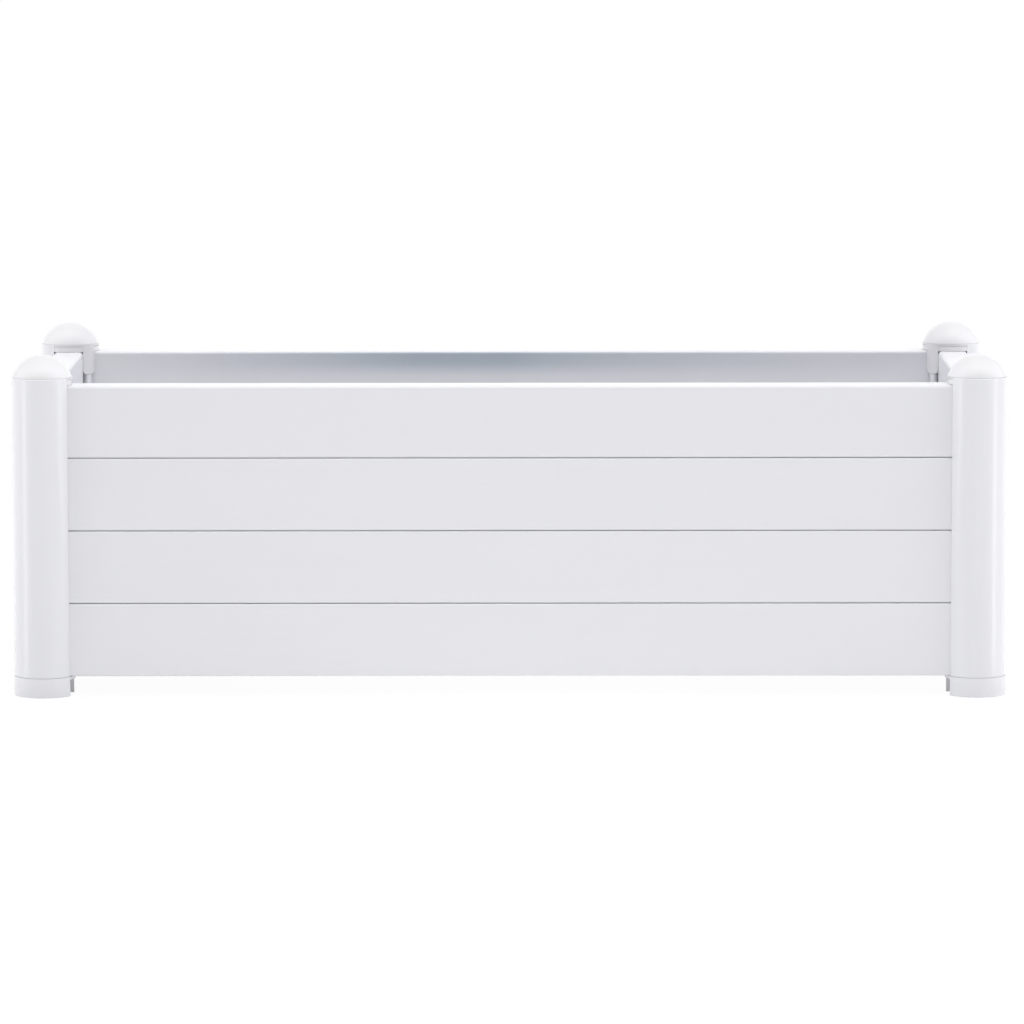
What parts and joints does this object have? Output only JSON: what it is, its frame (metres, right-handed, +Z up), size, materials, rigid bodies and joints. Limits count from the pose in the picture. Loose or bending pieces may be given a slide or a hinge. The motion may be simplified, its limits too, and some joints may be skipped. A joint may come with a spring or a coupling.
{
  "type": "raised garden bed",
  "caption": "Rectangular white plastic raised garden bed with walls of stacked boards between round corner posts with domed caps and feet.",
  "frame": {"origin": "on the ground under the middle of the bed", "axes": "+X along the bed to the right, +Y from the front wall to the rear wall, +Z up"},
  "size_m": [1, 0.43, 0.344],
  "materials": {
    "post_plastic": "semi-gloss white polypropylene",
    "cap_plastic": "semi-gloss white polypropylene",
    "board_plastic": "semi-gloss white polypropylene, very faintly blue",
    "floor_plastic": "satin off-white polypropylene"
  },
  "bodies": {
    "bed": {"post_front_left": "post_plastic", "post_front_right": "post_plastic", "post_rear_left": "post_plastic", "post_rear_right": "post_plastic", "foot_front_left": "post_plastic", "foot_front_right": "post_plastic", "foot_rear_left": "post_plastic", "foot_rear_right": "post_plastic", "front_board_1": "board_plastic", "front_board_2": "board_plastic", "front_board_3": "board_plastic", "front_board_4": "board_plastic", "rear_board_1": "board_plastic", "rear_board_2": "board_plastic", "rear_board_3": "board_plastic", "rear_board_4": "board_plastic", "left_board_1": "board_plastic", "left_board_2": "board_plastic", "left_board_3": "board_plastic", "left_board_4": "board_plastic", "right_board_1": "board_plastic", "right_board_2": "board_plastic", "right_board_3": "board_plastic", "right_board_4": "board_plastic", "floor_left": "floor_plastic", "floor_middle": "floor_plastic", "floor_right": "floor_plastic"},
    "front_left_cap": {"cap_front_left": "cap_plastic"},
    "front_right_cap": {"cap_front_right": "cap_plastic"},
    "rear_left_cap": {"cap_rear_left": "cap_plastic"},
    "rear_right_cap": {"cap_rear_right": "cap_plastic"}
  },
  "joints": [
    {"name": "front_left_cap_lift", "type": "slide", "parent": "bed", "child": "front_left_cap", "axis": [0, 0, 1], "range_m": [0, 0.04]},
    {"name": "front_right_cap_lift", "type": "slide", "parent": "bed", "child": "front_right_cap", "axis": [0, 0, 1], "range_m": [0, 0.04]},
    {"name": "rear_left_cap_lift", "type": "slide", "parent": "bed", "child": "rear_left_cap", "axis": [0, 0, 1], "range_m": [0, 0.04]},
    {"name": "rear_right_cap_lift", "type": "slide", "parent": "bed", "child": "rear_right_cap", "axis": [0, 0, 1], "range_m": [0, 0.04]}
  ]
}
